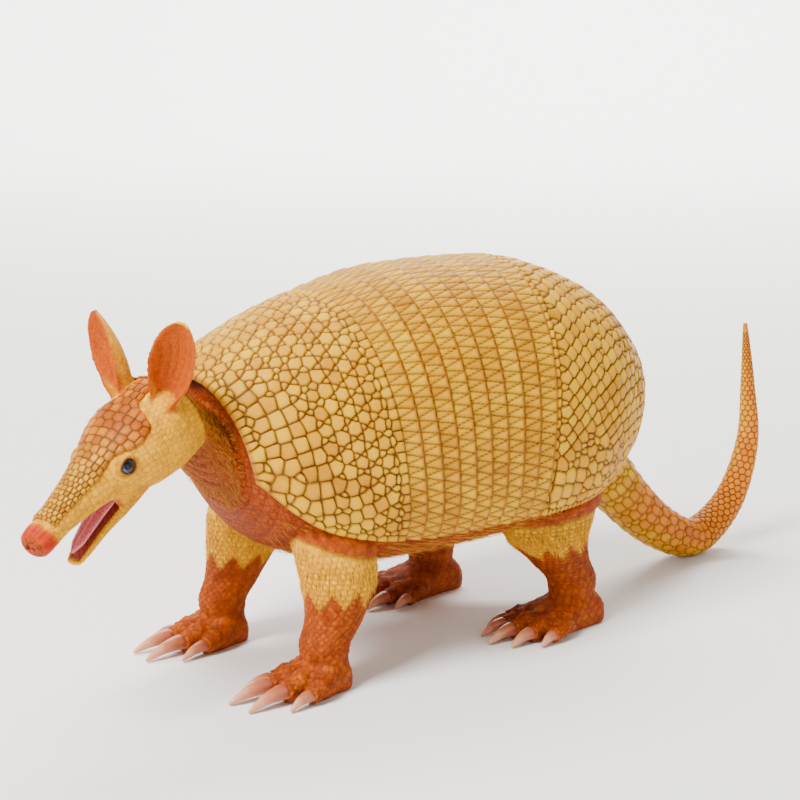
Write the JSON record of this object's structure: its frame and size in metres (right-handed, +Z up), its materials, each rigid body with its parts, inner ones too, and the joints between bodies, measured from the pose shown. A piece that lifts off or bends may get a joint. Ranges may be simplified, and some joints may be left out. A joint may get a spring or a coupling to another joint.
{
  "type": "nine-banded armadillo",
  "caption": "Life-size still model of a nine-banded armadillo, standing on four feet with its head turned, mouth open and tail curled up behind.",
  "frame": {"origin": "on the floor under the middle of the animal's whole box, tail included", "axes": "+Z up, the nose points towards -Y, the animal's left side is +X"},
  "size_m": [0.167, 0.5468, 0.2141],
  "materials": {
    "skin": "matt, folded and pebbled skin",
    "horn": "satin horn scutes over bone",
    "claw": "smooth horn",
    "eye": "wet, glossy",
    "tongue": "moist",
    "hair": "sparse stiff bristles"
  },
  "bodies": {
    "root": {"trunk": "skin", "neck": "skin", "head": "skin", "jaw": "skin", "tongue": "tongue", "head_shield": "horn", "eye_left": "eye", "eye_right": "eye", "ear_left": "skin", "ear_right": "skin", "shoulder_shield": "horn", "band_1": "horn", "band_2": "horn", "band_3": "horn", "band_4": "horn", "band_5": "horn", "band_6": "horn", "band_7": "horn", "band_8": "horn", "band_9": "horn", "rump_shield": "horn", "front_leg_left": "skin", "front_foot_left": "skin", "claw_front_left_1": "claw", "claw_front_left_2": "claw", "claw_front_left_3": "claw", "claw_front_left_4": "claw", "front_leg_right": "skin", "front_foot_right": "skin", "claw_front_right_1": "claw", "claw_front_right_2": "claw", "claw_front_right_3": "claw", "claw_front_right_4": "claw", "hind_leg_left": "skin", "hind_foot_left": "skin", "claw_hind_left_1": "claw", "claw_hind_left_2": "claw", "claw_hind_left_3": "claw", "claw_hind_left_4": "claw", "claw_hind_left_5": "claw", "hind_leg_right": "skin", "hind_foot_right": "skin", "claw_hind_right_1": "claw", "claw_hind_right_2": "claw", "claw_hind_right_3": "claw", "claw_hind_right_4": "claw", "claw_hind_right_5": "claw", "tail_1": "horn", "tail_2": "horn", "tail_3": "horn", "tail_4": "horn", "tail_5": "horn", "tail_6": "horn"}
  },
  "joints": []
}
